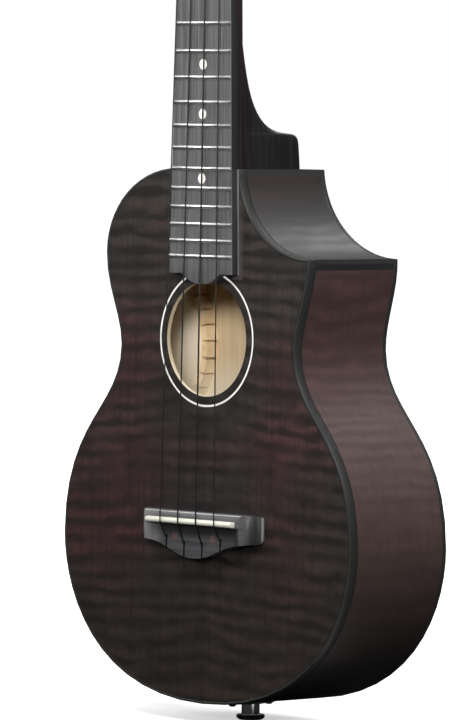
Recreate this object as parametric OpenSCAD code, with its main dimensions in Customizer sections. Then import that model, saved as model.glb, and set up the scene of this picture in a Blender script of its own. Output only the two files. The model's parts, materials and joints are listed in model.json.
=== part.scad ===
// Tenor ukulele with a cutaway body, end-pin jack and open-gear tuners.
// +Z runs up the neck, -Y faces the player's audience, +X is the cutaway side.
// The origin is on the jack's axis where it leaves the tail.

/* [Scale] */
// Length of the open string from nut to saddle
scale_len = 430; // [415:1:440]
// Height above the tail where the plain scale length ends
scale_end_z = 102.2; // [98:0.1:106]
// Extra string length at the saddle, which keeps fretted notes in tune
compensation = 1.6; // [0:0.1:3]
// Number of frets
fret_count = 19; // [16:1:19]

/* [Body] */
// Half width of the lower bout
lower_half = 114.9; // [108:0.1:120]
// Half width of the waist
waist_half = 69.4; // [64:0.1:74]
// Half width of the upper bout on the bass side
upper_half = 82.5; // [78:0.1:86]
// Depth of the body at its deepest point
body_depth = 73.8; // [70:0.1:78]
// Radius of the long arch of the back
back_arch_r = 4300; // [3500:100:6000]
// Thickness of the sides and the bindings
side_t = 1.6; // [1.4:0.1:2]
// Thickness of the soundboard
top_t = 2.4; // [1.8:0.1:2.8]
// Thickness of the back
back_t = 2.2; // [1.8:0.1:2.8]
// Height of the front binding on the side
bind_top_h = 6; // [3:0.5:8]
// Height of the back binding on the side
bind_back_h = 3; // [2:0.5:5]
// Radius of the soundhole
hole_r = 31.7; // [28:0.1:34]
// Height of the soundhole's centre above the tail
hole_z = 200.6; // [198:0.1:204]

/* [Neck] */
// Width of the fretboard at the nut
nut_w = 35.8; // [34:0.1:38]
// Growth of the fretboard's width for each millimetre of its length
board_taper = 0.0502; // [0.04:0.0001:0.055]
// Thickness of the fretboard
board_t = 5.1; // [4:0.1:6]
// Depth of the neck behind the fretboard
neck_depth = 12; // [10:0.1:14]
// Depth of the heel at the body
heel_depth = 54.4; // [50:0.1:56]

/* [Headstock] */
// Angle of the headstock behind the neck
head_tilt = 14; // [10:1:16]
// Length of the headstock
head_len = 130; // [120:1:140]
// Thickness of the headstock with its veneer
head_t = 13; // [11:0.5:15]
// Distance of the posts from the centreline
post_x = 18; // [17:0.5:20]

/* [Bridge] */
// Length of the bridge
bridge_len = 96; // [92:1:100]
// Height of the bridge block
bridge_h = 9.5; // [8:0.1:10]
// Length of the saddle
saddle_len = 68.4; // [60:0.1:72]
// Spacing of the strings at the saddle
string_gap = 14.4; // [13:0.1:15]
// Height of the strings above the soundboard at the saddle
string_h = 13.2; // [12.8:0.1:14]

/* [End jack] */
// Radius of the strap button's barrel
button_r = 5.05; // [4.8:0.05:5.5]
// Radius of the jack's bore for the plug
plug_r = 3.25; // [3.2:0.01:3.3]

/* [Hidden] */
$fn = 40;
front_y = -37;
nut_t = 5;
joint_z = scale_end_z + scale_len * pow(2, -14 / 12);
nut_z = scale_end_z + scale_len;
saddle_z = scale_end_z - compensation;
board_y = front_y - board_t;
board_end = scale_end_z + scale_len * pow(2, -fret_count / 12) - 9.5;
head_z = nut_z + nut_t + 0.8;
heel_half = 24.5;
heel_cap = 8;
arch_z = 14;
tip = [80, joint_z - 47.75];
kerf_step = 6.7;
strip_half = 3.4;
cut_z = 3.8;
lining_w = 5;
lining_top_h = 8;
lining_back_h = 8;
brace_h = 8;
plate_t = 1.8;
bolt_y = -14;
bolt_r = 3;
fret_r = 1.1;
tang_half = 0.3;
dot_frets = [5, 7, 10, 12, 15];
dot_r = 2.95;
string_r = [0.34, 0.42, 0.46, 0.36];
post_z = [38, 80];
post_r = 3;
gear_teeth = 14;
gear_r = 5.6;
worm_r = 2.5;
worm_gap = gear_r + worm_r + 0.12;
worm_y = head_t + 3.9;
shaft_r = 1.6;
run_gap = 0.05;
nut_h = 7.9;
cord_sides = 10;
veneer_t = 1.5;
bush_r = 4;
coil_y = -6.6;
coil_pitch = 1.04;
coil_turns = 2.4;
coil_r = 3.54;
lug_x = 5.6;
edge_x = 29.2;
slot_top = [9.4, 12.1, 12.1, 9.4];
slot_h = 8.3;
slot_w = 1.2;
knot_h = 3;
ridge_x = 38;
wing_r = 11.1;
inlay_x = 15.2;
inlay_z = 9.2;
inlay_r = 2.7;
block_t = 26;
tail_t = 12;
jack_in = 38;
lead_x = -16;
saddle_round = 1.6;
plate_screw_y = 13.85;
barrel_r = 4.75;
ear_t = 1.4;
button_end = -10.6;
screw_r = 1;

// Back line of the heel: depth behind the fretboard's plane against height above the joint.
heel_corner = [[heel_depth - 1, 14], [heel_depth - 1.2, 18], [heel_depth - 3.8, 19.5], [45, 19.7]];
heel_sweep = [[45, 19.7], [31, 20.3], [14, 24], [neck_depth, 68]];
heel_taper = 3;

// Outline of one half of the body, as curves from the tail to the neck.
low = [[0, 0], [89.4, 0], [lower_half, 55.2], [lower_half, 89.3]];
mid = [[lower_half, 89.3], [lower_half, 153.4], [waist_half, 159.3], [waist_half, 195.5]];
bout = [[waist_half, 195.5], [waist_half, 211], [upper_half, 226], [upper_half, tip.y + 0.6]];
crown = [[upper_half, tip.y + 0.6], [upper_half, 272.5], [57.5, joint_z], [heel_half, joint_z]];
horn = [[waist_half, 195.5], [waist_half, 212], [tip.x, 228], tip];

function bez(p, t) = pow(1 - t, 3) * p[0] + 3 * pow(1 - t, 2) * t * p[1]
    + 3 * (1 - t) * t * t * p[2] + pow(t, 3) * p[3];
function slope(p, t) = pow(1 - t, 2) * (p[1] - p[0]) + 2 * (1 - t) * t * (p[2] - p[1])
    + t * t * (p[3] - p[2]);
function inward(d) = [-d.y, d.x] / norm(d);
function run(p, n, inset) = [for (i = [0 : n - 1]) bez(p, i / n) + inset * inward(slope(p, i / n))];
function scoop_at(a, inset) = [tip.x, joint_z]
    - [(tip.x - heel_half) * sin(a), (joint_z - tip.y) * cos(a)]
    - inset * [sin(a) / (tip.x - heel_half), cos(a) / (joint_z - tip.y)]
    / norm([sin(a) / (tip.x - heel_half), cos(a) / (joint_z - tip.y)]);
function flip(v) = [for (i = [len(v) - 1 : -1 : 0]) [-v[i].x, v[i].y]];
function bass_half(inset) = concat(run(low, 14, inset), run(mid, 12, inset), run(bout, 6, inset),
    run(crown, 14, inset), [[heel_half, joint_z - inset]]);
function treble_half(inset) = concat(run(low, 14, inset), run(mid, 12, inset),
    [for (p = run(horn, 8, inset)) if (p.y < tip.y - inset - 0.01) p],
    [tip - [inset, inset]],
    [for (i = [0 : 20]) let (p = scoop_at(i * 4.5, inset))
        if (p.x < tip.x - inset - 0.01 && p.y < joint_z - inset - 0.01) p],
    [[heel_half - inset, joint_z - inset]]);
function body_line(inset) = concat(treble_half(inset), [for (p = flip(bass_half(inset))) p]);
function fret_z(n) = scale_end_z + scale_len * pow(2, -n / 12);
function board_w(z) = nut_w + board_taper * (nut_z - z);
function back_y(z) = front_y + body_depth - pow(z - arch_z, 2) / (2 * back_arch_r);
function string_x(i) = (i - 1.5) * string_gap;
function nut_x(i) = (i - 1.5) * (nut_w - 7) / 3;
function saddle_pt(i) = [string_x(i), front_y - string_h, saddle_z];
function saddle_top(i) = [string_x(i), front_y - string_h + saddle_round + 0.5, saddle_z];
function nut_pt(i) = [nut_x(i), front_y - nut_h, nut_z + nut_t + 0.3];
function side_of(i) = i < 2 ? -1 : 1;
function post_of(i) = i == 0 || i == 3 ? post_z[0] : post_z[1];
function in_head(p) = [p.x, front_y + p.y * cos(head_tilt) + p.z * sin(head_tilt),
    head_z - p.y * sin(head_tilt) + p.z * cos(head_tilt)];

module slab(y0, y1) {
  translate([0, y1, 0]) rotate([90, 0, 0]) linear_extrude(y1 - y0) children();
}

module head_place() {
  translate([0, front_y, head_z]) rotate([-head_tilt, 0, 0]) children();
}

module body_shape(inset) {
  polygon(body_line(inset));
}

module rim_shape(inset, width) {
  difference() {
    body_shape(inset);
    body_shape(inset + width);
  }
}

// Everything in front of the arched back, less a margin.
module before_back(margin) {
  translate([-150, front_y + body_depth - back_arch_r, arch_z]) rotate([0, 90, 0])
    cylinder(r = back_arch_r - margin, h = 300, $fn = 1440);
}

// Everything behind the inner face of a skin that follows the arched back.
module back_skin(outer, inner) {
  difference() {
    before_back(outer);
    before_back(inner);
  }
}

module rod(a, b, r) {
  d = b - a;
  translate(a) rotate([0, acos(d.z / norm(d)), atan2(d.y, d.x)]) cylinder(r = r, h = norm(d), $fn = 16);
}

module y_pin(x, z, r, y0, y1) {
  translate([x, y1, z]) rotate([90, 0, 0]) cylinder(r = r, h = y1 - y0);
}

// Wood-screw: domed head and straight shank along -Y from the face at y.
module y_screw(x, z, y, head, depth) {
  translate([x, y, z]) rotate([-90, 0, 0]) cylinder(r1 = head, r2 = head * 0.6, h = 1);
  y_pin(x, z, screw_r, y - depth, y + 0.5);
}

module rosette_ring(r0, r1) {
  difference() {
    y_pin(0, hole_z, r1, front_y, front_y + 0.8);
    y_pin(0, hole_z, r0, front_y - 1, front_y + 2);
  }
}

module lead_hole() {
  y_pin(lead_x, saddle_z, 1.2, front_y - 10, front_y + 10);
}

module soundboard() {
  color("#3a2a28") difference() {
    slab(front_y, front_y + top_t) body_shape(side_t);
    y_pin(0, hole_z, hole_r, front_y - 1, front_y + 5);
    rosette_ring(35.8, 37.9);
    lead_hole();
  }
}

module rosette_white() {
  color("#e8e6dc") rosette_ring(36.3, 37.4);
}

module rosette_black() {
  color("#141212") {
    rosette_ring(35.8, 36.3);
    rosette_ring(37.4, 37.9);
  }
}

module back() {
  color("#33201e") intersection() {
    slab(0, 60) body_shape(side_t);
    back_skin(0, back_t);
  }
}

module side_wall() {
  intersection() {
    slab(front_y + bind_top_h, 60) rim_shape(0, side_t);
    before_back(bind_back_h);
  }
}

module jack_bore() {
  translate([0, 0, -3]) cylinder(r = barrel_r, h = 60);
  for (s = [-1, 1])
    translate([0, s * plate_screw_y, -3]) cylinder(r = screw_r, h = 10);
}

module block(x0, x1, z0, z1) {
  translate([x0, -60, z0]) cube([x1 - x0, 120, z1 - z0]);
}

module side_bass() {
  color("#3d2422") difference() {
    intersection() {
      side_wall();
      union() {
        block(-130, -strip_half, -1, 300);
        block(-4, heel_half - cut_z, joint_z - cut_z, 300);
      }
    }
    jack_bore();
    bolt_bore();
  }
}

module side_treble() {
  color("#3d2422") difference() {
    intersection() {
      side_wall();
      block(strip_half, 130, -1, tip.y - 2.5);
    }
    jack_bore();
  }
}

module side_cutaway() {
  color("#3d2422") intersection() {
    side_wall();
    block(heel_half - 1.7, tip.x - 3.5, tip.y - 2, joint_z - cut_z);
  }
}

module tail_strip() {
  color("#0d0c0c") difference() {
    intersection() {
      side_wall();
      block(-strip_half, strip_half, -1, 4);
    }
    jack_bore();
  }
}

module cutaway_strips() {
  color("#0d0c0c") intersection() {
    side_wall();
    union() {
      block(heel_half - cut_z, heel_half + 1, joint_z - cut_z, 300);
      block(tip.x - 3.5, tip.x + 4, tip.y - 2.5, tip.y + 6);
    }
  }
}

module binding_top() {
  color("#0d0c0c") slab(front_y, front_y + bind_top_h) rim_shape(0, side_t);
}

module binding_back() {
  color("#0d0c0c") intersection() {
    slab(10, 60) rim_shape(0, side_t);
    back_skin(0, bind_back_h);
  }
}

// Strip of small blocks: the inner edge steps in at each saw kerf.
function kerf_edge(v) = [for (i = [0 : len(v) - 2])
    let (a = v[i], b = v[i + 1], n = inward(b - a), k = max(1, floor(norm(b - a) / kerf_step)))
    for (j = [0 : k - 1]) for (s = [[0, 0], [0.86, 0], [0.86, lining_w - 1], [1, lining_w - 1]])
        a + (b - a) * (j + s.x) / k - s.y * n];

module lining_shape() {
  difference() {
    body_shape(side_t);
    polygon(kerf_edge(body_line(side_t + lining_w)));
    translate([-29, joint_z - block_t - side_t]) square([58, 40]);
    translate([-25, -1]) square([50, tail_t + side_t + 1]);
  }
}

module lining_top() {
  color("#c48f5c") slab(front_y + top_t, front_y + top_t + lining_top_h) lining_shape();
}

module lining_back() {
  color("#c48f5c") intersection() {
    slab(0, 60) lining_shape();
    back_skin(back_t, back_t + lining_back_h);
  }
}

module bar(x, z, len, w, tilt) {
  translate([x, z]) rotate(tilt) square([len, w], center = true);
}

module top_braces() {
  color("#d9b98a") difference() {
    union() {
      slab(front_y + top_t, front_y + top_t + brace_h) intersection() {
        body_shape(side_t + lining_w + 0.2);
        union() {
          bar(0, 245, 220, 7, 0);
          bar(0, 158, 240, 7, 0);
        }
      }
      slab(front_y + top_t, front_y + top_t + 5) {
        for (s = [-1, 0, 1])
          bar(s * 32, 92, 4, 112, -s * 9);
      }
    }
    slab(front_y - 1, front_y + top_t + plate_t) bar(0, 98, 104, 32, 0);
    translate([-60, front_y, 160.5]) cube([120, 20, 2]);
  }
}

module bridge_plate() {
  color("#caa377") difference() {
    slab(front_y + top_t, front_y + top_t + plate_t) bar(0, 98, 104, 32, 0);
    lead_hole();
  }
}

module back_braces() {
  color("#d9b98a") intersection() {
    slab(0, 60) intersection() {
      body_shape(side_t + lining_w + 0.2);
      union() {
        bar(0, 62, 240, 8, 0);
        bar(0, 150, 240, 8, 0);
        bar(0, 236, 240, 8, 0);
      }
    }
    back_skin(back_t, back_t + brace_h);
  }
}

module bolt_bore() {
  translate([0, bolt_y, joint_z - 60]) cylinder(r = bolt_r, h = 74);
}

module neck_block() {
  color("#b98a5c") difference() {
    intersection() {
      slab(front_y + top_t, 60) intersection() {
        body_shape(side_t);
        translate([-28, joint_z - side_t - block_t]) square([heel_half - side_t + 28, block_t]);
      }
      before_back(back_t);
    }
    bolt_bore();
  }
}

module tail_block() {
  color("#b98a5c") difference() {
    intersection() {
      slab(front_y + top_t, 60) intersection() {
        body_shape(side_t);
        translate([-24.8, 0]) square([49.6, tail_t + side_t]);
      }
      before_back(back_t);
    }
    jack_bore();
  }
}

module neck_bolt() {
  color("#8d8f92") {
    translate([0, bolt_y, joint_z - side_t - block_t - 5.2]) cylinder(r = 5, h = 4, $fn = 6);
    translate([0, bolt_y, joint_z - side_t - block_t - 1.2]) cylinder(r = 8, h = 1.2);
    translate([0, bolt_y, joint_z - side_t - block_t - 2]) cylinder(r = bolt_r, h = 42);
  }
}

module neck_insert() {
  color("#b5913c") translate([0, bolt_y, joint_z + 1]) difference() {
    cylinder(r = 4.6, h = 13);
    translate([0, 0, -1]) cylinder(r = bolt_r, h = 20);
  }
}

// Stations up the heel and neck: depth behind the fretboard's plane, height, share of heel.
function stations() = concat([[heel_depth, 0, 1], [heel_depth - 0.5, heel_cap, 1]],
    [for (i = [0 : 5]) let (p = bez(heel_corner, i / 5)) [p.x, p.y, 1]],
    [for (i = [1 : 14]) let (p = bez(heel_sweep, i / 14)) [p.x, p.y, 1 - i / 14]],
    [for (i = [1 : 6]) [neck_depth - 0.12 * i, 68 + i * (nut_z - joint_z - 92) / 6, 0]],
    [for (i = [1 : 5])
        [neck_depth - 0.72 + 2.9 * pow(i / 5, 2), nut_z - joint_z - 24 + i * 5.96, -i / 5]]);
function curl(heel) = 2.2 + (heel > 0 ? 5.8 * heel : -3.4 * heel);
function neck_ring(s) = let (e = 2 / curl(s[2]), w = board_w(joint_z + s[1]) / 2)
    [for (i = [0 : 20]) let (a = i * 9, d = pow(sin(a), e))
        [sign(cos(a)) * pow(abs(cos(a)), e) * (w - 0.35 - max(0, s[2]) * heel_taper * d),
        front_y + s[0] * d, joint_z + s[1]]];

module neck() {
  rings = [for (s = stations()) neck_ring(s)];
  n = len(rings[0]);
  last = len(rings) - 1;
  color("#1d1414") difference() {
    polyhedron([for (r = rings) each r], concat(
        [for (k = [0 : last - 1]) for (i = [0 : n - 1]) let (j = (i + 1) % n)
            each [[k * n + i, k * n + n + j, k * n + j], [k * n + i, k * n + n + i, k * n + n + j]]],
        [[for (i = [0 : n - 1]) i], [for (i = [n - 1 : -1 : 0]) last * n + i]]));
    translate([0, bolt_y, joint_z - 1]) cylinder(r = 4.6, h = 15);
    translate([0, bolt_y, joint_z]) cylinder(r = bolt_r, h = 16);
  }
}

function head_half() = concat(
    [for (i = [0 : 7]) bez([[18.6, -1], [19.5, 10], [29, 14], [edge_x, 27]], i / 8)],
    [for (i = [0 : 7]) bez([[edge_x, 27], [edge_x, 55], [edge_x - 1, 80], [edge_x + 1.5, 104]], i / 8)],
    [for (i = [0 : 6]) bez([[edge_x + 1.5, 104], [32, 118], [24, 124], [16, head_len - 8]], i / 7)],
    [for (i = [0 : 6]) bez([[16, head_len - 8], [9, head_len - 9], [5, head_len], [0, head_len]], i / 6)]);

module head_shape() {
  polygon(concat(head_half(), [for (p = flip(head_half())) if (p.x < -0.1) p]));
}

module each_post() {
  for (i = [0 : 3])
    translate([side_of(i) * post_x, 0, post_of(i)]) children();
}

// Two screws hold each tuner's plate, above and below its gear.
module each_plate_screw() {
  each_post() {
    translate([0, 0, -9.5]) children();
    translate([0, 0, 17]) children();
  }
}

module below_head() {
  translate([-60, -60, head_z - 26]) cube([120, 100, 26]);
}

module headstock() {
  color("#1d1414") difference() {
    head_place() difference() {
      slab(veneer_t, head_t) head_shape();
      each_post() y_pin(0, 0, bush_r, -1, 20);
      each_plate_screw() y_pin(0, 0, screw_r, head_t - 7, head_t + 1);
    }
    below_head();
  }
}

module head_veneer() {
  color("#17120f") difference() {
    head_place() difference() {
      slab(0, veneer_t) head_shape();
      each_post() y_pin(0, 0, bush_r, -1, 20);
    }
    below_head();
  }
}

function board_half() = concat(
    [[board_w(nut_z) / 2, nut_z], [board_w(board_end) / 2, board_end], [20, board_end]],
    [for (i = [1 : 4]) [0, board_end] + bez([[20, 0], [18, 0], [17, 0.6], [15.4, 0]], i / 4)],
    [for (i = [1 : 8]) [0, board_end] + bez([[15.4, 0], [12, -1.4], [9, -5.6], [0, -5.6]], i / 8)]);

module board_shape() {
  polygon(concat(flip(board_half()), [for (p = board_half()) if (p.x > 0.1) p]));
}

module each_fret() {
  for (n = [1 : fret_count])
    translate([0, board_y, fret_z(n)]) rotate([0, -90, 0])
      linear_extrude(board_w(fret_z(n)) - 0.5, center = true) children();
}

function dot_z(n) = (fret_z(n) + fret_z(n - 1)) / 2;

module dot_bodies() {
  for (n = dot_frets)
    y_pin(0, dot_z(n), dot_r, board_y, board_y + 1.2);
}

module side_dot_bodies() {
  intersection() {
    slab(board_y, front_y) board_shape();
    for (n = dot_frets)
      translate([-30, front_y - 2.2, dot_z(n)]) rotate([0, 90, 0])
        cylinder(r = 0.9, h = 32 - board_w(dot_z(n)) / 2);
  }
}

module fretboard() {
  color("#4a4648") difference() {
    slab(board_y, front_y) board_shape();
    each_fret() translate([-tang_half, -1]) square([2 * tang_half, 3]);
    dot_bodies();
    side_dot_bodies();
  }
}

module frets() {
  color("#c9cbce") each_fret() {
    intersection() {
      circle(fret_r, $fn = 32);
      translate([-2, -2]) square([4, 2]);
    }
    translate([-tang_half, -0.1]) square([2 * tang_half, 2.1]);
  }
}

module position_dots() {
  color("#f1efe6") {
    dot_bodies();
    side_dot_bodies();
  }
}

module nut() {
  color("#efe9d6") difference() {
    slab(front_y - nut_h - 0.15, front_y) translate([-nut_w / 2, nut_z]) square([nut_w, nut_t]);
    for (i = [0 : 3])
      rod(saddle_pt(i), nut_pt(i) + (nut_pt(i) - saddle_pt(i)) * 0.02, string_r[i] + 0.05);
    for (s = [-1, 1])
      translate([s * nut_w / 2, front_y - nut_h - 0.15, nut_z - 1]) rotate([0, 0, 45])
        cube([1.4, 1.4, 20], center = true);
  }
}

// Round cord along a path, as rings of points square to its direction.
function way(p, i) = let (d = p[min(i + 1, len(p) - 1)] - p[max(i - 1, 0)]) d / norm(d);
function cord_ring(c, t, r, across) =
    let (u = cross(t, across) / norm(cross(t, across)), v = cross(u, t))
    [for (k = [0 : cord_sides - 1]) let (a = k * 360 / cord_sides) c + r * (cos(a) * u + sin(a) * v)];

module cord(path, radii, across) {
  n = cord_sides;
  last = len(path) - 1;
  polyhedron([for (i = [0 : last]) each cord_ring(path[i], way(path, i), radii[i], across)], concat(
      [for (k = [0 : last - 1]) for (i = [0 : n - 1]) let (j = (i + 1) % n)
          each [[k * n + i, k * n + j, k * n + n + j], [k * n + i, k * n + n + j, k * n + n + i]]],
      [[for (i = [n - 1 : -1 : 0]) i], [for (i = [0 : n - 1]) last * n + i]]));
}

// Knot in the bridge, run over saddle and nut, then turns around the post.
function knot_path(i) = [for (k = [-1.7, -1.1, 0, 1.1])
    [string_x(i), front_y - knot_h, saddle_z - slot_top[i] - 3.7 + k]];
function coil_path(i) = [for (k = [0 : 40]) let (a = k * coil_turns * 9) in_head(
    [side_of(i) * (post_x - coil_r * cos(a)), coil_y + coil_pitch * a / 360, post_of(i) + coil_r * sin(a)])];

module one_string(i) {
  r = string_r[i];
  run = concat([[string_x(i), front_y - slot_h - 0.3, saddle_z - slot_top[i]]],
      [for (a = [28, 21, 14, 7, 0]) saddle_top(i) + (saddle_round + r + 0.06) * [0, -cos(a), -sin(a)]],
      [nut_pt(i)]);
  color("#1a1a1c") cord(concat(knot_path(i), run, coil_path(i)),
      concat([0.5, 1.2, 1.3, r], [for (k = [0 : 47]) r]), [0, 1, 0]);
}

module string_g() {
  one_string(0);
}

module string_c() {
  one_string(1);
}

module string_e() {
  one_string(2);
}

module string_a() {
  one_string(3);
}

// Bridge outline: straight upper edge, belly swelling below the centre.
function bridge_half() = concat(
    [for (i = [0 : 5]) bez([[0, -20.2], [8, -20.2], [13, -18.3], [18, -16.3]], i / 6)],
    [for (i = [0 : 6]) bez([[18, -16.3], [25, -13.4], [31, -11.2], [bridge_len / 2 - 4, -10.6]], i / 6)],
    [for (i = [0 : 4]) [bridge_len / 2 - 3.6, -7] + 3.6 * [sin(i * 22.5), -cos(i * 22.5)]],
    [for (i = [0 : 4]) [bridge_len / 2 - 2.5, 2.5] + 2.5 * [cos(i * 22.5), sin(i * 22.5)]]);

module bridge_shape() {
  translate([0, saddle_z])
    polygon(concat(bridge_half(), [for (p = flip(bridge_half())) if (p.x < -0.1) p]));
}

// Extrudes a profile of height against distance from the saddle over the bridge's length.
module along_bridge() {
  translate([-60, front_y, saddle_z]) rotate([90, 0, 90]) linear_extrude(120) mirror([1, 0]) children();
}

// Hollow behind the saddle, with sides that rise gently to the ridges.
module hollow() {
  side = [for (i = [0 : 6]) bez([[ridge_x - 0.3, bridge_h + 0.1], [35, 8.4], [31, 7.6], [25, 6.8]], i / 6)];
  intersection() {
    along_bridge() polygon(concat([[20, -1.9]],
        [for (i = [0 : 8]) bez([[bridge_h + 0.1, -1.9], [7.3, -2.6], [7, -6], [7.9, -10.5]], i / 8)],
        [[slot_h - 0.2, -14], [slot_h, -30], [20, -30]]));
    translate([0, front_y, saddle_z - 30]) linear_extrude(40)
      polygon(concat([for (p = side) [p.x, -p.y]], [for (p = flip(side)) [p.x, -p.y]],
        [[-ridge_x, -20], [ridge_x, -20]]));
  }
}

// Falls from the ridge to a thin wing, with a bevel at its end.
module wing_cut() {
  translate([bridge_len / 2 + 0.5, front_y - wing_r - 2, saddle_z - 30])
    cylinder(r = wing_r, h = 60, $fn = 96);
  translate([bridge_len / 2 - 3.2, front_y - 2.5, saddle_z - 30]) rotate([0, 0, 28])
    translate([0, -10, 0]) cube([10, 10, 60]);
}

module bridge() {
  color("#4b484b") difference() {
    intersection() {
      slab(front_y - bridge_h, front_y) bridge_shape();
      along_bridge() polygon(concat([[0, -30], [0, 6]],
          [for (i = [0 : 5]) bez([[bridge_h - 1.4, 5.1], [bridge_h - 0.6, 4.9], [bridge_h - 0.1, 4.1],
            [bridge_h, 2.6]], i / 5)],
          [[bridge_h, -30]]));
    }
    hollow();
    wing_cut();
    mirror([1, 0, 0]) wing_cut();
    saddle_slot();
    lead_hole();
    for (i = [0 : 3]) {
      translate([string_x(i) - slot_w / 2, front_y - 12, saddle_z - 40])
        cube([slot_w, 12 - knot_h + 0.4, 41 - slot_top[i]]);
      translate([string_x(i), front_y - knot_h, saddle_z - 40]) cylinder(r = 1.7, h = 38 - slot_top[i]);
    }
    inlay_bodies();
  }
}

module inlay_bodies() {
  difference() {
    for (s = [-1, 1])
      y_pin(s * inlay_x, saddle_z - inlay_z, inlay_r, front_y - slot_h, front_y - 4.8);
    hollow();
  }
}

module saddle_slot() {
  translate([-saddle_len / 2, front_y - 20, saddle_z - 1.5]) cube([saddle_len, 17, 3]);
}

module saddle() {
  color("#f3efdc") intersection() {
    translate([-saddle_len / 2, front_y - 20, saddle_z - 1.5]) cube([saddle_len, 20 - 3.8, 3]);
    translate([-60, saddle_top(0).y, saddle_z]) rotate([0, 90, 0]) union() {
      cylinder(r = saddle_round, h = 120);
      translate([-3, 0, 0]) cube([6, 20, 120]);
    }
  }
}

module pickup_strip() {
  color("#b9a06a") difference() {
    translate([-saddle_len / 2, front_y - 3.8, saddle_z - 1.5]) cube([saddle_len, 0.8, 3]);
    lead_hole();
  }
}

module bridge_inlays() {
  color("#9fb8a8") inlay_bodies();
}

module pickup_lead() {
  path = [[lead_x, front_y - 3.7, saddle_z], [lead_x, -31.4, saddle_z],
      [lead_x + 0.2, -30.2, saddle_z - 2], [-14, -29.4, 80], [-11, -27, 48], [-7, -14, 46],
      [-3, -7, 45.5], [-1.6, -3, 44], [-1.5, -0.6, jack_in + 2.1]];
  color("#2a2a2a") cord(path, [for (p = path) 0.7], [1, 0, 0]);
}

module jack_barrel() {
  color("#b8bbbf") difference() {
    translate([0, 0, -8.6]) cylinder(r = barrel_r, h = jack_in + 10.6);
    translate([0, 0, -9]) cylinder(r = plug_r, h = jack_in + 9);
    translate([0, 0, jack_in - 2]) cylinder(r = 4.2, h = 3);
  }
}

module strap_button() {
  color("#dfe2e5") rotate_extrude($fn = 64) polygon(concat(
      [[barrel_r, -1.5], [barrel_r, -8.6], [plug_r, -8.6], [plug_r, button_end]],
      [for (i = [0 : 6]) bez([[5, button_end], [7.2, button_end + 0.1], [8, -9], [8, -8.2]], i / 6)],
      [[7.6, -7.5], [button_r, -7.5], [button_r, -1.5]]));
}

module jack_nut() {
  color("#c7cacd") difference() {
    union() {
      translate([0, 0, tail_t + side_t]) cylinder(r = 8.5, h = 1);
      translate([0, 0, tail_t + side_t + 1]) cylinder(r = 8.2, h = 3, $fn = 6);
    }
    jack_bore();
  }
}

module jack_plate() {
  color("#d5d8db") difference() {
    translate([0, 0, -1.5]) linear_extrude(1.5) difference() {
      hull() {
        circle(7);
        for (s = [-1, 1])
          translate([0, s * 14]) circle(3.1, $fn = 32);
      }
      circle(barrel_r);
    }
    for (s = [-1, 1])
      translate([0, s * plate_screw_y, -4]) cylinder(r = screw_r, h = 8);
  }
}

module jack_screws() {
  color("#c3c6c9") for (s = [-1, 1])
    translate([0, s * plate_screw_y, 0]) {
      translate([0, 0, -2.6]) cylinder(r1 = 1.5, r2 = 2.5, h = 1.1);
      translate([0, 0, -2]) cylinder(r = screw_r, h = 9);
    }
}

module bushings() {
  color("#d9dbde") head_place() each_post() difference() {
    union() {
      y_pin(0, 0, bush_r, -0.6, 8);
      rotate([90, 0, 0]) cylinder(r1 = 5.4, r2 = 4.4, h = 1.2);
    }
    y_pin(0, 0, post_r + run_gap, -5, 20);
  }
}

module plate_shape() {
  difference() {
    hull() {
      translate([0, -9.5]) circle(3.2, $fn = 32);
      translate([0, 17]) circle(3.2, $fn = 32);
      translate([0, 4]) square([15, 17], center = true);
    }
    circle(post_r + run_gap);
    for (z = [-9.5, 17])
      translate([0, z]) circle(screw_r);
  }
}

// Folded plate with two ears that carry the worm.
module tuner_plates() {
  color("#cfd2d5") head_place() each_post() {
    slab(head_t, head_t + 1) plate_shape();
    for (s = [-1, 1])
      translate([s * lug_x, 0, worm_gap]) difference() {
        translate([-ear_t / 2, head_t + 0.5, -2.8]) cube([ear_t, worm_y - head_t + 2.4, 5.6]);
        translate([-3, worm_y, 0]) rotate([0, 90, 0]) cylinder(r = shaft_r + run_gap, h = 6);
      }
  }
}

module plate_screws() {
  color("#c3c6c9") head_place() each_plate_screw() y_screw(0, 0, head_t + 1, 2.1, 7.5);
}

module tuner_post(i) {
  color("#d9dbde") head_place() translate([side_of(i) * post_x, 0, post_of(i)]) {
    difference() {
      union() {
        y_pin(0, 0, post_r, -12, head_t + 1.3);
        y_pin(0, 0, 2, head_t, head_t + 5.2);
      }
      translate([0, -9.4, -5]) cylinder(r = 0.9, h = 10);
    }
    translate([0, head_t + 5.9, 0]) rotate([-90, 0, 0]) cylinder(r1 = 2.7, r2 = 1.8, h = 1);
    y_pin(0, 0, 1.5, head_t + 5.25, head_t + 6);
  }
}

module tuner_gear(i) {
  step = 360 / gear_teeth;
  color("#c9a95a") head_place() translate([side_of(i) * post_x, head_t + 5.2, post_of(i)])
    rotate([90, 0, 0]) linear_extrude(3.4) difference() {
      polygon([for (k = [0 : gear_teeth - 1]) for (q = [[-0.27, gear_r - 1.4], [-0.13, gear_r],
          [0.13, gear_r], [0.27, gear_r - 1.4]]) q[1] * [cos((k + q[0]) * step), sin((k + q[0]) * step)]]);
      circle(2.02);
    }
}

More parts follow.
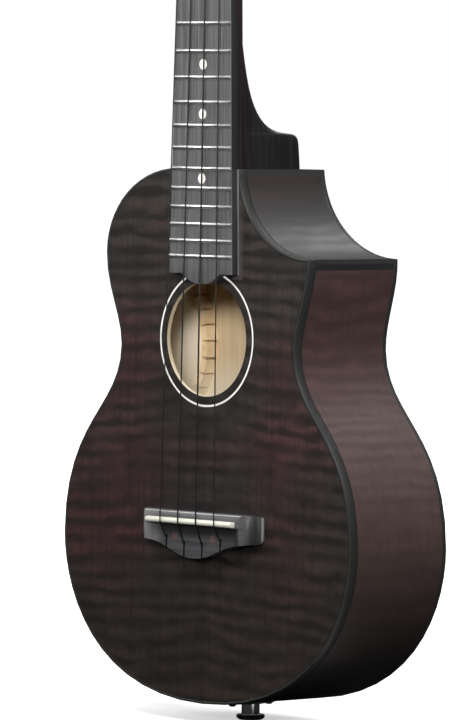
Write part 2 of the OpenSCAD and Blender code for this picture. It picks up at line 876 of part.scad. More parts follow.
// Worm and shaft: the grooved part sits between the plate's ears.
module tuner_worm(i) {
  s = side_of(i);
  color("#cfd2d5") head_place() translate([s * post_x, worm_y, post_of(i) + worm_gap])
    rotate([0, s * 90, 0]) {
    translate([0, 0, -lug_x - 1.8]) cylinder(r = shaft_r, h = lug_x + 1.8 + edge_x + 10 - post_x);
    rotate_extrude() polygon(concat([[0, -4.75], [worm_r, -4.75]],
        [for (k = [-2 : 2]) for (q = [[worm_r, -0.45], [worm_r - 0.7, -0.15], [worm_r - 0.7, 0.15],
            [worm_r, 0.45]]) [q[0], k * 1.8 + q[1]]],
        [[worm_r, 4.75], [0, 4.75]]));
    translate([0, 0, -lug_x - 2]) cylinder(r = 2.2, h = 1.2);
  }
}

module tuner_button(i) {
  s = side_of(i);
  color("#141314") head_place() translate([s * (edge_x + 2.6), worm_y, post_of(i) + worm_gap])
    rotate([0, s * 90, 0]) difference() {
      union() {
        cylinder(r1 = 2.9, r2 = 3.4, h = 4);
        translate([0, 0, 8.6]) intersection() {
          scale(7.6) sphere(1, $fn = 48);
          cube([16, 7, 16], center = true);
        }
      }
      translate([0, 0, -1]) cylinder(r = shaft_r, h = 8.4);
    }
}

soundboard();
rosette_white();
rosette_black();
back();
side_bass();
side_treble();
side_cutaway();
tail_strip();
cutaway_strips();
binding_top();
binding_back();
lining_top();
lining_back();
top_braces();
bridge_plate();
back_braces();
neck_block();
tail_block();
neck_bolt();
neck_insert();
neck();
headstock();
head_veneer();
fretboard();
frets();
position_dots();
nut();
string_g();
string_c();
string_e();
string_a();
bridge();
saddle();
pickup_strip();
bridge_inlays();
pickup_lead();
jack_barrel();
strap_button();
jack_nut();
jack_plate();
jack_screws();
bushings();
tuner_plates();
plate_screws();
tuner_post(0);  // post_g
tuner_post(1);  // post_c
tuner_post(2);  // post_e
tuner_post(3);  // post_a
tuner_gear(0);  // gear_g
tuner_gear(1);  // gear_c
tuner_gear(2);  // gear_e
tuner_gear(3);  // gear_a
tuner_worm(0);  // worm_g
tuner_worm(1);  // worm_c
tuner_worm(2);  // worm_e
tuner_worm(3);  // worm_a
tuner_button(0);  // button_g
tuner_button(1);  // button_c
tuner_button(2);  // button_e
tuner_button(3);  // button_a
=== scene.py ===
import json
import math

import bpy
from mathutils import Matrix, Quaternion, Vector


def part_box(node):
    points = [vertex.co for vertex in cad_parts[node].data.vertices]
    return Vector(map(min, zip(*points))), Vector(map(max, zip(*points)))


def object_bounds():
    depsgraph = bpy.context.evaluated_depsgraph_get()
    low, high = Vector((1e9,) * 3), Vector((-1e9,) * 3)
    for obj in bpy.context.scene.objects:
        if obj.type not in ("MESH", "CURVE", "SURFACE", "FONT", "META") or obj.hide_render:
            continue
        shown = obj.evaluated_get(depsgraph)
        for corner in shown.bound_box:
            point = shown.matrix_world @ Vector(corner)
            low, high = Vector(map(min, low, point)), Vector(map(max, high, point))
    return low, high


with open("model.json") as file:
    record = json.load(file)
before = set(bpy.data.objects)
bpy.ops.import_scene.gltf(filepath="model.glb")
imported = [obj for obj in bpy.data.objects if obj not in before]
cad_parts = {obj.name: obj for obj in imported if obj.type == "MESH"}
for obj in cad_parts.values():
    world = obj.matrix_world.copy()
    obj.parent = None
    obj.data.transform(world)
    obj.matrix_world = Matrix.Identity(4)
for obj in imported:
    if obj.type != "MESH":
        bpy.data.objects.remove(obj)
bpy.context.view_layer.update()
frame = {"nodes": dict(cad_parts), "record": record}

scene = bpy.context.scene
scene.view_settings.view_transform = "Standard"

# ---------------------------------------------------------------- camera
AZIMUTH = 46.783        # degrees round from the front, towards the cutaway side
ELEVATION = 2.269
ROLL = -0.746
DISTANCE = 3.5133       # metres from the aim point
LENS = 320.5            # mm on a 36 mm sensor


def make_camera():
    """A long lens low on the cutaway side, aimed just right of the soundhole's foot."""
    az, el, roll = (math.radians(a) for a in (AZIMUTH, ELEVATION, ROLL))
    back = Vector((math.sin(az) * math.cos(el), -math.cos(az) * math.cos(el), math.sin(el)))
    right = (-back).cross(Vector((0, 0, 1))).normalized()
    up = right.cross(-back)
    x = right * math.cos(roll) - up * math.sin(roll)
    y = up * math.cos(roll) + right * math.sin(roll)
    aim = Vector((0.004366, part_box("soundboard")[0].y + 0.009667, 0.188977))
    camera = bpy.data.objects.new("camera", bpy.data.cameras.new("camera"))
    camera.data.lens = LENS
    camera.data.sensor_width = 36
    camera.data.clip_end = 60
    camera.matrix_world = Matrix.Translation(aim + back * DISTANCE) @ Matrix(
        ((x.x, y.x, back.x), (x.y, y.y, back.y), (x.z, y.z, back.z))).to_4x4()
    scene.collection.objects.link(camera)
    scene.camera = camera


# ---------------------------------------------------------------- node helpers
class Shader:
    """A material's node tree with short calls for adding and joining nodes."""

    def __init__(self, name, **fixed):
        self.material = bpy.data.materials.new(name)
        self.material.use_nodes = True
        self.tree = self.material.node_tree
        self.bsdf = self.tree.nodes["Principled BSDF"]
        for socket, value in fixed.items():
            self.bsdf.inputs[socket.replace("_", " ")].default_value = value
        self.place = self.add("TexCoord").outputs["Object"]

    def add(self, kind, settings=None, **inputs):
        made = self.tree.nodes.new("ShaderNode" + kind)
        for key, value in (settings or {}).items():
            setattr(made, key, value)
        for key, value in inputs.items():
            self.join(value, made.inputs[key.replace("_", " ")])
        return made

    def join(self, value, socket):
        if isinstance(value, bpy.types.NodeSocket):
            self.tree.links.new(value, socket)
        else:
            socket.default_value = value

    def at(self, scale, place=None):
        """Coordinates stretched by scale: the object's own, or those of place."""
        return self.add("Mapping", Vector=place or self.place, Scale=scale).outputs["Vector"]

    def axes(self, letters):
        """The object's own coordinates, one for each letter."""
        split = self.add("SeparateXYZ", Vector=self.place).outputs
        return [split[letter.upper()] for letter in letters]

    def noise(self, vector, detail=3.0, roughness=0.5, distortion=0.0):
        return self.add("TexNoise", Vector=vector, Scale=1.0, Detail=detail,
                        Roughness=roughness, Distortion=distortion).outputs["Fac"]

    def ramp(self, value, *stops):
        made = self.add("ValToRGB", Fac=value)
        elements = made.color_ramp.elements
        while len(elements) < len(stops):
            elements.new(0.5)
        for element, (position, colour) in zip(elements, stops):
            element.position = position
            element.color = (*colour, 1) if isinstance(colour, tuple) else (colour, colour, colour, 1)
        return made.outputs["Color"]

    def spread(self, value, low, high, start=0.0, end=1.0):
        """start below low, end above high, and a straight change between."""
        return self.add("MapRange", Value=value, From_Min=low, From_Max=high, To_Min=start,
                        To_Max=end).outputs["Result"]

    def math(self, operation, a, b=0.5):
        made = self.add("Math", {"operation": operation})
        self.join(a, made.inputs[0])
        self.join(b, made.inputs[1])
        return made.outputs[0]

    def plus(self, a, b):
        return self.math("ADD", a, b)

    def times(self, a, b):
        return self.math("MULTIPLY", a, b)

    def mix(self, factor, a, b, blend="MIX"):
        made = self.add("Mix", {"data_type": "RGBA", "blend_type": blend})
        self.join(factor, made.inputs[0])
        self.join(a if isinstance(a, bpy.types.NodeSocket) else (*a, 1), made.inputs[6])
        self.join(b if isinstance(b, bpy.types.NodeSocket) else (*b, 1), made.inputs[7])
        return made.outputs[2]

    def colour(self, value):
        self.join(value, self.bsdf.inputs["Base Color"])

    def rough(self, value):
        self.join(value, self.bsdf.inputs["Roughness"])

    def bump(self, height, strength, distance):
        made = self.add("Bump", Strength=strength, Distance=distance, Height=height)
        self.join(made.outputs["Normal"], self.bsdf.inputs["Normal"])


# ---------------------------------------------------------------- materials
def scaled(values, by):
    """A colour or a texture's scale, each number times by."""
    return tuple(v * by for v in values)


def front_of(node):
    """The y of a piece's front."""
    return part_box(node)[0].y


# Places where finishes change, in metres of the frame.
RED_BAND = 0.122        # height of the reddest band across the soundboard
BOARD_SIDE = 0.0255     # the fretboard's edge over the body, from the centreline
BOARD_END = 0.2335      # height where that edge ends
BODY_END = 0.2937       # height where the body meets the neck
HORN_STRIP = 0.2400     # height where the black end strip starts on the horn
BRIDGE_WING = 0.0385    # the bridge's ridges, from the centreline
BRIDGE_TIP = 0.0468     # the bevels at the bridge's ends

# Each set: dark and pale grey, dark and pale red, and the colour of the pores.
TOP_TONES = ((0.0105, 0.0088, 0.0078), (0.0410, 0.0330, 0.0282), (0.0185, 0.0085, 0.0088),
             (0.0640, 0.0275, 0.0280), (0.0078, 0.0064, 0.0060))
SIDE_TONES = ((0.0530, 0.0322, 0.0292), (0.0840, 0.0515, 0.0465), (0.0560, 0.0272, 0.0258),
              (0.0930, 0.0475, 0.0445), (0.0330, 0.0194, 0.0182))
# painted shade: the cutaway's tones are a darker, greyer copy of the side's
SHADED_CUTAWAY_TONES = ((0.0115, 0.0100, 0.0104), (0.0180, 0.0155, 0.0160), (0.0150, 0.0088, 0.0085),
                 (0.0260, 0.0150, 0.0145), (0.0080, 0.0068, 0.0070))


def stained_figure(s, place, along, stroke, red_size, redder, fine, tones):
    """Flamed veneer under dark see-through stain: ripples, patches of red, fine lines of grain."""
    sway = s.noise(s.at(stroke, place=place), detail=3, roughness=0.6)
    wave = s.math("SINE", s.plus(along, s.times(sway, 15.0)), 0.0)
    patchy = s.noise(s.at(scaled(stroke, 1.9), place=place), detail=2)
    broken = s.noise(s.at(scaled(stroke, 4.5), place=place), detail=2, roughness=0.6)
    figure = s.times(s.times(wave, 0.5), s.spread(patchy, 0.35, 0.68, 0.08, 1.0))
    figure = s.plus(figure, s.times(broken, 0.9))
    light = s.spread(figure, 0.17, 0.80)
    patches = s.plus(s.noise(s.at(red_size, place=place), detail=2, roughness=0.4), redder)
    lines = s.noise(s.at(fine, place=place), detail=3, roughness=0.7)
    dark_grey, pale_grey, dark_red, pale_red, pore = tones
    grey = s.mix(light, dark_grey, pale_grey)
    red = s.mix(light, dark_red, pale_red)
    wood = s.mix(s.spread(patches, 0.48, 0.66), grey, red)
    wood = s.mix(s.spread(lines, 0.42, 0.68, 0.0, 0.5), wood, pore)
    s.rough(s.spread(figure, 0.1, 0.9, 0.50, 0.42))
    s.bump(lines, 0.10, 0.00012)
    return wood


def flamed_top(name):
    """Two book-matched halves that lean up from the centre seam, the bass half a shade darker.

    Redder across a band above the bridge, browner at the tail, with a painted pale glow of light along the
    fretboard.
    """
    s = Shader(name, Specular_IOR_Level=0.4)
    x, y, z = s.axes("xyz")
    side = s.math("ABSOLUTE", x)
    rise = s.plus(z, s.times(side, 0.06))
    halves = s.add("CombineXYZ", X=s.plus(side, s.times(x, 0.08)), Y=y, Z=rise).outputs["Vector"]
    from_band = s.math("ABSOLUTE", s.plus(s.plus(z, -RED_BAND), s.times(x, -0.14)))
    redder = s.plus(s.spread(side, 0.02, 0.06, -0.10, 0.0), s.spread(from_band, 0.016, 0.040, 0.15, -0.04))
    bass_side = s.times(s.spread(x, -0.05, 0.05, 0.05, -0.03), s.spread(z, 0.098, 0.112))
    redder = s.plus(redder, bass_side)
    wood = stained_figure(s, halves, s.times(rise, 660.0), (16, 8, 34), (11, 4, 13), redder,
                          (430, 60, 12), TOP_TONES)
    browner = s.mix(1.0, wood, (0.88, 0.80, 0.77), "MULTIPLY")
    wood = s.mix(s.spread(z, 0.05, 0.14, 1.0, 0.0), wood, browner)
    # painted light: a pale glow on the soundboard beside the fretboard's treble edge, fading up towards the
    # neck
    painted_glow_beside_board = s.times(s.spread(x, BOARD_SIDE, 0.0300, 0.62, 0.0), s.math("GREATER_THAN", x, 0.02))
    painted_glow_beside_board = s.times(painted_glow_beside_board, s.spread(z, 0.236, 0.285, 1.0, 0.25))
    painted_glow_beside_board = s.times(painted_glow_beside_board, s.math("GREATER_THAN", z, BOARD_END))
    wood = s.mix(painted_glow_beside_board, wood, (0.075, 0.066, 0.063))
    seam = s.spread(side, 0.0, 0.0006, 0.55, 1.0)
    half = s.spread(x, -0.0003, 0.0003, 0.86, 1.0)
    s.colour(s.mix(1.0, wood, s.ramp(s.times(seam, half), (0.0, 0.0), (1.0, 1.0)), "MULTIPLY"))
    return s.material


def side_wood(name):
    """Bent sides: the flame crosses the bend, painted shade darkens them towards the tail, and the
    horn ends in a black strip."""
    s = Shader(name, Specular_IOR_Level=0.5)
    x, z = s.axes("xz")
    along = s.times(s.plus(z, s.times(x, -0.9)), 620.0)
    redder = s.plus(s.spread(z, 0.17, 0.23, 0.10, -0.10), s.spread(z, 0.09, 0.12, -0.15, 0.0))
    wood = stained_figure(s, s.place, along, (30, 14, 30), (13, 9, 11), redder, (40, 620, 40), SIDE_TONES)
    wood = s.mix(s.spread(z, 0.13, 0.19, 0.0, 0.30), wood, (0.0200, 0.0120, 0.0115))
    # painted shade: the sides fade to near black towards the tail
    wood = s.mix(s.spread(z, 0.025, 0.10, 0.95, 0.0), wood, (0.0085, 0.0079, 0.0076))
    horn_end = s.times(s.math("GREATER_THAN", z, HORN_STRIP), s.math("GREATER_THAN", x, 0.05))
    s.colour(s.mix(horn_end, wood, (0.012, 0.0125, 0.0125)))
    return s.material


def shaded_cutaway_wood(name):
    """The cutaway's piece of side: a darker copy of the side wood for painted shade, and greyer below its
    upper end.
    """
    s = Shader(name, Specular_IOR_Level=0.7)
    x, z = s.axes("xz")
    along = s.times(s.plus(z, s.times(x, -0.9)), 500.0)
    redder = s.spread(z, 0.262, 0.282, -0.15, 0.08)
    s.colour(stained_figure(s, s.place, along, (24, 12, 24), (13, 9, 11), redder, (40, 620, 40),
                            SHADED_CUTAWAY_TONES))
    return s.material


def dark_neck_wood(name):
    """Near-black stained wood, a little red beside the fretboard."""
    s = Shader(name)
    streaks = s.noise(s.at((420, 420, 12)), detail=4, distortion=0.3)
    broad = s.noise(s.at((30, 30, 6)), detail=2)
    base = s.mix(s.spread(broad, 0.4, 0.65), (0.0092, 0.0090, 0.0093), (0.0130, 0.0100, 0.0106))
    y = s.axes("y")[0]
    base = s.mix(s.spread(y, -0.036, -0.027, 0.85, 0.0), base, (0.0240, 0.0120, 0.0130))
    s.colour(s.mix(s.spread(streaks, 0.35, 0.7), (0.0048, 0.0045, 0.0047), base))
    s.rough(s.spread(streaks, 0.3, 0.7, 0.36, 0.46))
    s.bump(streaks, 0.08, 0.0001)
    return s.material


ACROSS = (16, 300, 430)     # fineness of a grain that runs across the body


def grain_streaks(s, grain, dark, pale):
    """Long streaks of grain: how strong they are at a point, and their tone there."""
    streaks = s.noise(s.at(grain), detail=5, roughness=0.65, distortion=0.2)
    return streaks, s.mix(s.spread(streaks, 0.30, 0.72), dark, pale)


def rosewood(name, grain, light, gloss=0.6, pore=0.8, wing=None):
    """Grey-brown oiled hardwood with long pores. On the bridge, x = wing is where painted shade darkens the
    treble wing's hollow, painted light makes the bass wing paler, and a painted highlight lines the bevels
    at its ends."""
    s = Shader(name, Specular_IOR_Level=0.3)
    streaks, tone = grain_streaks(s, grain, scaled((0.070, 0.069, 0.071), light),
                                  scaled((0.182, 0.180, 0.185), light))
    broad = s.noise(s.at(scaled(grain, 0.12)), detail=2)
    pores = s.noise(s.at(scaled(grain, 2.6)), detail=1)
    tone = s.mix(s.spread(broad, 0.4, 0.66, 0.0, 0.5), tone, scaled((0.085, 0.081, 0.084), light))
    tone = s.mix(s.spread(pores, 0.58, 0.72, 0.0, pore), tone, scaled((0.022, 0.020, 0.021), light))
    if wing:
        x = s.axes("x")[0]
        # painted shade in the treble wing's hollow, beyond its ridge
        tone = s.mix(s.spread(x, wing - 0.0015, wing + 0.0035, 0.2, 0.94), tone, (0.012, 0.012, 0.013))
        # painted light on the bass wing
        tone = s.mix(s.spread(x, -wing, -wing + 0.012, 0.5, 0.0), tone, (0.27, 0.26, 0.25))
        # painted highlight: a pale line on the bevels at the bridge's ends
        painted_tip_highlight = s.spread(s.math("ABSOLUTE", x), BRIDGE_TIP, BRIDGE_TIP + 0.0005, 0.0, 0.7)
        tone = s.mix(painted_tip_highlight, tone, (0.22, 0.22, 0.22))
    s.colour(tone)
    s.rough(s.spread(streaks, 0.3, 0.7, gloss + 0.08, gloss - 0.08))
    s.bump(s.math("SUBTRACT", streaks, s.spread(pores, 0.6, 0.75)), 0.2, 0.0002)
    return s.material


def board_edge(name):
    """The fretboard's edge faces, darker than its top and paler over the body, with a painted highlight line
    where they meet the soundboard.
    """
    s = Shader(name, Specular_IOR_Level=0.3)
    y, z = s.axes("yz")
    streaks, tone = grain_streaks(s, (500, 500, 9), (0.0065, 0.0065, 0.0068), (0.0180, 0.0178, 0.0183))
    over_body = s.math("LESS_THAN", z, BODY_END)
    tone = s.mix(s.times(over_body, 0.5), tone, (0.036, 0.036, 0.037))
    front = front_of("soundboard")
    # painted highlight: a pale line where the edge meets the soundboard, over the body
    painted_highlight_line = s.times(over_body, s.spread(y, front - 0.0012, front - 0.0008))
    s.colour(s.mix(painted_highlight_line, tone, (0.20, 0.20, 0.205)))
    s.rough(s.spread(streaks, 0.3, 0.7, 0.68, 0.52))
    s.bump(streaks, 0.2, 0.0002)
    return s.material


def shaded_rosewood(name):
    """The bridge's hollow: a painted shadow of the saddle, dark against it and paler towards the hollow's
    lower edge, with painted light at its bass end.
    """
    s = Shader(name, Specular_IOR_Level=0.3)
    x, z = s.axes("xz")
    low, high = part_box("bridge")
    streaks, tone = grain_streaks(s, ACROSS, (0.030, 0.031, 0.033), (0.088, 0.089, 0.093))
    # painted shadow: darkest against the saddle
    tone = s.mix(s.spread(z, low.z + 0.004, high.z - 0.008, 0.0, 0.85), tone, (0.012, 0.012, 0.013))
    # painted light at the hollow's bass end
    s.colour(s.mix(s.spread(x, -0.035, -0.024, 0.9, 0.0), tone, (0.17, 0.17, 0.175)))
    s.rough(s.spread(streaks, 0.3, 0.7, 0.62, 0.5))
    s.bump(streaks, 0.2, 0.0002)
    return s.material


def raw_wood(name, dark, light, grain):
    """Bare pale wood with soft lines of growth rings, and painted light making it palest in the lower half
    of the body.
    """
    s = Shader(name, Specular_IOR_Level=0.3)
    streaks = s.noise(s.at(grain), detail=4, roughness=0.6, distortion=0.4)
    broad = s.noise(s.at((20, 20, 14)), detail=2)
    tone = s.mix(s.spread(streaks, 0.3, 0.72), dark, light)
    tone = s.mix(s.spread(broad, 0.35, 0.7, 0.0, 0.3), tone, scaled(dark, 0.85))
    z = s.axes("z")[0]
    # painted light: paler in the lower half of the body, where light falls in through the soundhole
    s.colour(s.mix(s.spread(z, 0.16, 0.19, 0.75, 0.0), tone, (0.93, 0.86, 0.70)))
    s.rough(s.spread(streaks, 0.3, 0.7, 0.66, 0.8))
    s.bump(streaks, 0.15, 0.0002)
    return s.material


def plain(name, colour, roughness, mottle=0.08, size=60, **fixed):
    """Moulded or cut material: slight mottling and a finely uneven gloss."""
    s = Shader(name, **fixed)
    cloud = s.noise(s.at((size,) * 3), detail=3)
    fine = s.noise(s.at((size * 14,) * 3), detail=2)
    s.colour(s.mix(s.spread(cloud, 0.3, 0.7), scaled(colour, 1 - mottle), scaled(colour, 1 + mottle)))
    s.rough(s.spread(fine, 0.3, 0.7, roughness * 0.9, roughness * 1.12))
    s.bump(fine, 0.03, 0.00002)
    return s.material


def metal(name, colour, roughness):
    """Plated or drawn metal, finely uneven and a little smudged."""
    s = Shader(name, Metallic=1.0)
    fine = s.noise(s.at((300, 300, 300)), detail=3)
    smudge = s.noise(s.at((40, 40, 40)), detail=3)
    s.colour(s.mix(s.spread(smudge, 0.35, 0.7), colour, scaled(colour, 0.88)))
    s.rough(s.plus(s.spread(fine, 0.3, 0.7, roughness * 0.8, roughness * 1.2),
                   s.spread(smudge, 0.4, 0.7, 0.0, 0.05)))
    s.bump(fine, 0.03, 0.00002)
    return s.material


def pearl(name):
    """Shell inlay: pale bands of green, pink and cream."""
    s = Shader(name, Coat_Weight=0.4, Coat_Roughness=0.12)
    swirl = s.noise(s.at((160, 160, 260)), detail=3, distortion=2.2)
    s.colour(s.ramp(swirl, (0.3, (0.70, 0.74, 0.66)), (0.5, (0.90, 0.90, 0.82)), (0.68, (0.84, 0.76, 0.72))))
    s.rough(s.spread(swirl, 0.3, 0.7, 0.2, 0.34))
    return s.material


def make_materials():
    return {
        "flamed_top": flamed_top("flamed_top"),
        "side_wood": side_wood("side_wood"),
        "black_binding": plain("black_binding", (0.0250, 0.0260, 0.0250), 0.38, Specular_IOR_Level=0.35),
        "white_purfling": plain("white_purfling", (0.80, 0.79, 0.75), 0.4),
        "lining_wood": raw_wood("lining_wood", (0.66, 0.47, 0.26), (0.84, 0.68, 0.44), (50, 50, 90)),
        "brace_wood": raw_wood("brace_wood", (0.5, 0.36, 0.2), (0.66, 0.52, 0.34), (40, 200, 200)),
        "block_wood": raw_wood("block_wood", (0.4, 0.25, 0.13), (0.52, 0.35, 0.2), (180, 180, 20)),
        "plain_steel": metal("plain_steel", (0.6, 0.6, 0.61), 0.3),
        "brass": metal("brass", (0.72, 0.55, 0.27), 0.28),
        "neck_wood": dark_neck_wood("neck_wood"),
        "veneer_wood": dark_neck_wood("veneer_wood"),
        "fretboard_wood": rosewood("fretboard_wood", (430, 430, 9), 0.78),
        "fret_metal": metal("fret_metal", (0.95, 0.95, 0.94), 0.32),
        "pearl": pearl("pearl"),
        "bone": plain("bone", (0.72, 0.71, 0.61), 0.3, 0.04),
        "nylon": plain("nylon", (0.006, 0.006, 0.0065), 0.42, Specular_IOR_Level=0.25),
        "cable": plain("cable", (0.02, 0.02, 0.02), 0.5),
        "chrome": metal("chrome", (0.86, 0.87, 0.88), 0.1),
        "button_plastic": plain("button_plastic", (0.012, 0.012, 0.012), 0.18),
    }


def make_extra_materials():
    """Finishes without a slot of their own: bare wood inside the body, the bindings' sides in painted
    shade, the fretboard's darker edges, the cutaway in painted shade, the bridge's parts with painted shade
    and highlights, and its dark shell dots."""
    return {
        "bare_top": raw_wood("bare_top", (0.66, 0.52, 0.34), (0.80, 0.68, 0.48), (420, 60, 9)),
        "bare_back": raw_wood("bare_back", (0.58, 0.44, 0.27), (0.70, 0.56, 0.36), (300, 60, 9)),
        "dull_shell": plain("dull_shell", (0.062, 0.040, 0.036), 0.4, 0.45, 260),
        # painted shade: a darker copy of the black binding for its side faces
        "painted_shade_binding_side": plain("painted_shade_binding_side", (0.0195, 0.0203, 0.0195), 0.46, Specular_IOR_Level=0.3),
        "bare_side": raw_wood("bare_side", (0.86, 0.76, 0.60), (0.93, 0.86, 0.72), (60, 420, 60)),
        "board_edge": board_edge("board_edge"),
        "shaded_cutaway_wood": shaded_cutaway_wood("shaded_cutaway_wood"),
        "shaded_rosewood": shaded_rosewood("shaded_rosewood"),
        "bridge_wood": rosewood("bridge_wood", ACROSS, 1.15, 0.42, 0.35, BRIDGE_WING),
        # painted highlight: a pale, glossy copy of the bridge wood for its rounded top edge
        "painted_bridge_edge_highlight": rosewood("painted_bridge_edge_highlight", ACROSS, 4.0, 0.25, 0.1),
    }


# ---------------------------------------------------------------- CAD pieces
def dress(node, material, round_edge):
    """Gives a CAD node its material, joined vertices, rounded edges and smooth curves."""
    piece = frame["nodes"][node]
    piece.data.materials.clear()
    piece.data.materials.append(material)
    weld = piece.modifiers.new("weld", "WELD")
    weld.merge_threshold = 2e-6
    if round_edge:
        bevel = piece.modifiers.new("edges", "BEVEL")
        bevel.width = round_edge
        bevel.segments = 2
        bevel.limit_method = "ANGLE"
        bevel.angle_limit = math.radians(35)
        bevel.harden_normals = False
    split = piece.modifiers.new("split", "EDGE_SPLIT")
    split.split_angle = math.radians(32)
    for face in piece.data.polygons:
        face.use_smooth = True


# Pieces with an extra finish instead of their slot's, and the rounding of edges in metres.
OWN_FINISH = {"bridge": "bridge_wood", "side_cutaway": "shaded_cutaway_wood", "bridge_inlays": "dull_shell"}
ROUND_EDGES = {"binding_top": 0.0006, "binding_back": 0.0006, "fretboard": 0.0003, "frets": 0.00025,
               "bridge": 0.0005, "saddle": 0.0003, "nut": 0.0003, "headstock": 0.0012,
               "jack_plate": 0.0003, "tuner_plates": 0.0002}


def finish_faces(piece, finish, is_chosen):
    """Gives the chosen faces of a piece a second finish."""
    piece.data.materials.append(finish)
    for face in piece.data.polygons:
        if is_chosen(face):
            face.material_index = len(piece.data.materials) - 1


def finish_bridge(materials, extra):
    """Paints the saddle's shadow into the hollow below it, paints the string slots' walls near-black as
    shade, and paints a highlight along the top edge.
    """
    bridge = frame["nodes"]["bridge"]
    saddle_low, saddle_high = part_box("saddle")
    lip = front_of("bridge") + 0.0002

    def in_hollow(face):
        across = -0.037 < face.center.x < saddle_high.x + 0.0036
        below = face.center.z < saddle_low.z + 0.0002
        return face.normal.y < -0.2 and face.center.y > lip and across and below

    def in_slot(face):
        return abs(face.normal.x) > 0.9 and abs(face.center.x) < 0.024

    def on_top_edge(face):
        return face.normal.z > 0.6 and face.normal.y < -0.15 and face.center.z > saddle_high.z

    # painted shadow of the saddle across the hollow
    finish_faces(bridge, extra["shaded_rosewood"], in_hollow)
    # painted shade: the slot walls take the strings' near-black nylon
    finish_faces(bridge, materials["nylon"], in_slot)
    # painted highlight along the rounded top edge
    finish_faces(bridge, extra["painted_bridge_edge_highlight"], on_top_edge)


def finish_body(extra):
    """Leaves the body's inner faces and the soundhole's wall bare."""
    low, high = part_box("rosette_white")
    hole = (low + high) / 2
    hole_reach = high.x - 0.0035
    body_low, body_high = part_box("soundboard")
    middle = (body_low + body_high) / 2

    def bare_top(face):
        from_hole = math.hypot(face.center.x - hole.x, face.center.z - hole.z)
        return face.normal.y > 0.3 or (abs(face.normal.y) < 0.3 and from_hole < hole_reach)

    def faces_in(face):
        outward = face.center - middle
        return face.normal.x * outward.x + face.normal.z * outward.z < 0

    finish_faces(frame["nodes"]["soundboard"], extra["bare_top"], bare_top)
    finish_faces(frame["nodes"]["back"], extra["bare_back"], lambda face: face.normal.y < -0.3)
    for node in ("side_bass", "side_treble", "side_cutaway"):
        finish_faces(frame["nodes"][node], extra["bare_side"], faces_in)


def dress_all(materials, extra):
    for entry in frame["record"]["subparts"]:
        node = entry["node"]
        finish = extra.get(OWN_FINISH.get(node)) or materials[entry["material_slot"]]
        dress(node, finish, ROUND_EDGES.get(node, 0.0))
    finish_body(extra)
    finish_bridge(materials, extra)
    finish_faces(frame["nodes"]["fretboard"], extra["board_edge"], lambda face: abs(face.normal.x) > 0.7)
    # the bindings' side faces take the darker copy, as painted shade
    for node in ("binding_top", "binding_back"):
        finish_faces(frame["nodes"][node], extra["painted_shade_binding_side"], lambda face: abs(face.normal.y) < 0.5)


# ---------------------------------------------------------------- stage
FLOOR_HALF = 14                     # half the floor's width
FLOOR_GAP = 0.0003                  # just below the lowest piece
GLINT_NEAR, GLINT_FAR = 0.10, 0.36  # ring of floor that shows as a bright strip in glossy metal


def make_floor():
    """A pale floor, white to the camera and dim in reflections but for a glowing patch in front that paints
    a bright strip into glossy metal.
    """
    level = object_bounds()[0].z - FLOOR_GAP
    corners = [(x * FLOOR_HALF, y * FLOOR_HALF, level) for x, y in ((-1, -1), (1, -1), (1, 1), (-1, 1))]
    mesh = bpy.data.meshes.new("floor")
    mesh.from_pydata(corners, [], [(0, 1, 2, 3)])
    floor = bpy.data.objects.new("floor", mesh)
    scene.collection.objects.link(floor)
    s = Shader("studio_floor", Roughness=0.7, Specular_IOR_Level=0.0)
    cloud = s.noise(s.at((3, 3, 3)), detail=2)
    s.colour(s.mix(s.spread(cloud, 0.3, 0.7), (0.90, 0.90, 0.90), (0.93, 0.93, 0.93)))
    x, y = s.axes("xy")
    away = s.math("SQRT", s.plus(s.times(x, x), s.times(y, y)), 0.0)
    glow = s.add("Emission", Strength=s.spread(away, 0.1, 1.1, 0.55, 1.05))
    shown = s.add("AddShader")
    rays = s.add("LightPath").outputs
    # painted reflection: a patch of floor that glows for glossy rays only
    glowing_patch = s.times(s.math("LESS_THAN", away, GLINT_FAR), s.math("GREATER_THAN", away, GLINT_NEAR))
    glowing_patch = s.times(glowing_patch, s.math("GREATER_THAN", y, s.times(x, -0.5)))
    glowing_patch = s.times(glowing_patch, s.math("LESS_THAN", y, 0.0))
    glint = s.add("Emission", Strength=s.times(s.times(glowing_patch, rays["Is Glossy Ray"]), 1.3))
    dim = s.add("AddShader")
    s.join(s.add("BsdfDiffuse", Color=(0.03, 0.03, 0.03, 1)).outputs[0], dim.inputs[0])
    s.join(glint.outputs[0], dim.inputs[1])
    choose = s.add("MixShader", Fac=rays["Is Camera Ray"])
    s.join(s.bsdf.outputs[0], shown.inputs[0])
    s.join(glow.outputs[0], shown.inputs[1])
    s.join(dim.outputs[0], choose.inputs[1])
    s.join(shown.outputs[0], choose.inputs[2])
    s.join(choose.outputs[0], s.tree.nodes["Material Output"].inputs["Surface"])
    mesh.materials.append(s.material)


ROOM_LOW, ROOM_HIGH = 0.02, 0.16    # strength of the room's light, low down and high up


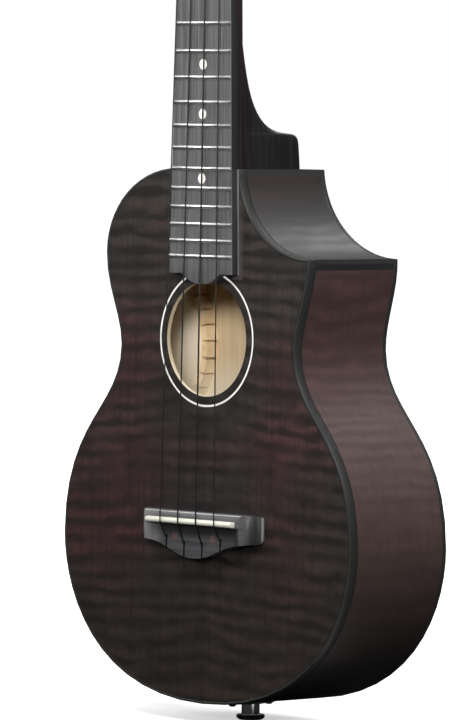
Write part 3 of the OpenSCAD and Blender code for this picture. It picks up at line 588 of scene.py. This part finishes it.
def make_room():
    """A white backdrop for the camera, and a soft room, darker low down, for everything else."""
    world = bpy.data.worlds.new("studio")
    scene.world = world
    world.use_nodes = True
    tree = world.node_tree
    room = tree.nodes["Background"]
    room.inputs["Color"].default_value = (1, 1, 1, 1)
    white = tree.nodes.new("ShaderNodeBackground")
    white.inputs["Color"].default_value = (1, 1, 1, 1)
    way = tree.nodes.new("ShaderNodeTexCoord")
    split = tree.nodes.new("ShaderNodeSeparateXYZ")
    fade = tree.nodes.new("ShaderNodeMapRange")
    fade.inputs["From Min"].default_value = -0.3
    fade.inputs["From Max"].default_value = 0.6
    fade.inputs["To Min"].default_value = ROOM_LOW
    fade.inputs["To Max"].default_value = ROOM_HIGH
    tree.links.new(way.outputs["Generated"], split.inputs["Vector"])
    tree.links.new(split.outputs["Z"], fade.inputs["Value"])
    tree.links.new(fade.outputs["Result"], room.inputs["Strength"])
    seen = tree.nodes.new("ShaderNodeLightPath")
    choose = tree.nodes.new("ShaderNodeMixShader")
    tree.links.new(seen.outputs["Is Camera Ray"], choose.inputs["Fac"])
    tree.links.new(room.outputs["Background"], choose.inputs[1])
    tree.links.new(white.outputs["Background"], choose.inputs[2])
    tree.links.new(choose.outputs["Shader"], tree.nodes["World Output"].inputs["Surface"])


MIDDLE_Z = 0.18         # height the lights are placed around, and that the soft boxes face


def place_light(name, light, direction, distance, aim_z, roll=0.0):
    """Puts a light that far from the object's middle, facing a height on its centreline."""
    lamp = bpy.data.objects.new(name, light)
    lamp.location = Vector((0, 0, MIDDLE_Z)) + Vector(direction).normalized() * distance
    lamp.rotation_mode = "QUATERNION"
    facing = (Vector((0, 0, aim_z)) - lamp.location).to_track_quat("-Z", "Y")
    lamp.rotation_quaternion = facing @ Quaternion((0, 0, 1), math.radians(roll))
    scene.collection.objects.link(lamp)


def soft_box(name, direction, distance, size, power, roll=0.0):
    """A rectangular lamp of a width and height, turned by roll degrees."""
    light = bpy.data.lights.new(name, "AREA")
    light.shape = "RECTANGLE"
    light.size, light.size_y = size
    light.energy = power
    place_light(name, light, direction, distance, MIDDLE_Z, roll)


def make_key(power):
    """A soft-edged pool of light over the soundhole and neck that fades towards the tail."""
    light = bpy.data.lights.new("key", "SPOT")
    light.energy = power
    light.shadow_soft_size = 0.32
    light.spot_size = math.radians(18)
    light.spot_blend = 1.0
    place_light("key", light, (0.62, -0.74, 0.26), 2.6, 0.42)


def make_lights():
    make_key(520)
    soft_box("above", (0.12, -0.60, 0.80), 2.4, (0.9, 0.9), 40)
    soft_box("side", (0.70, 0.10, 0.70), 2.2, (0.8, 0.8), 26)
    soft_box("fill", (-0.73, -0.42, 0.54), 2.6, (0.5, 1.8), 22, 40)
    soft_box("rear", (-0.20, 0.68, 0.69), 2.4, (1.3, 0.9), 11)


make_camera()
make_floor()
make_room()
make_lights()
dress_all(make_materials(), make_extra_materials())
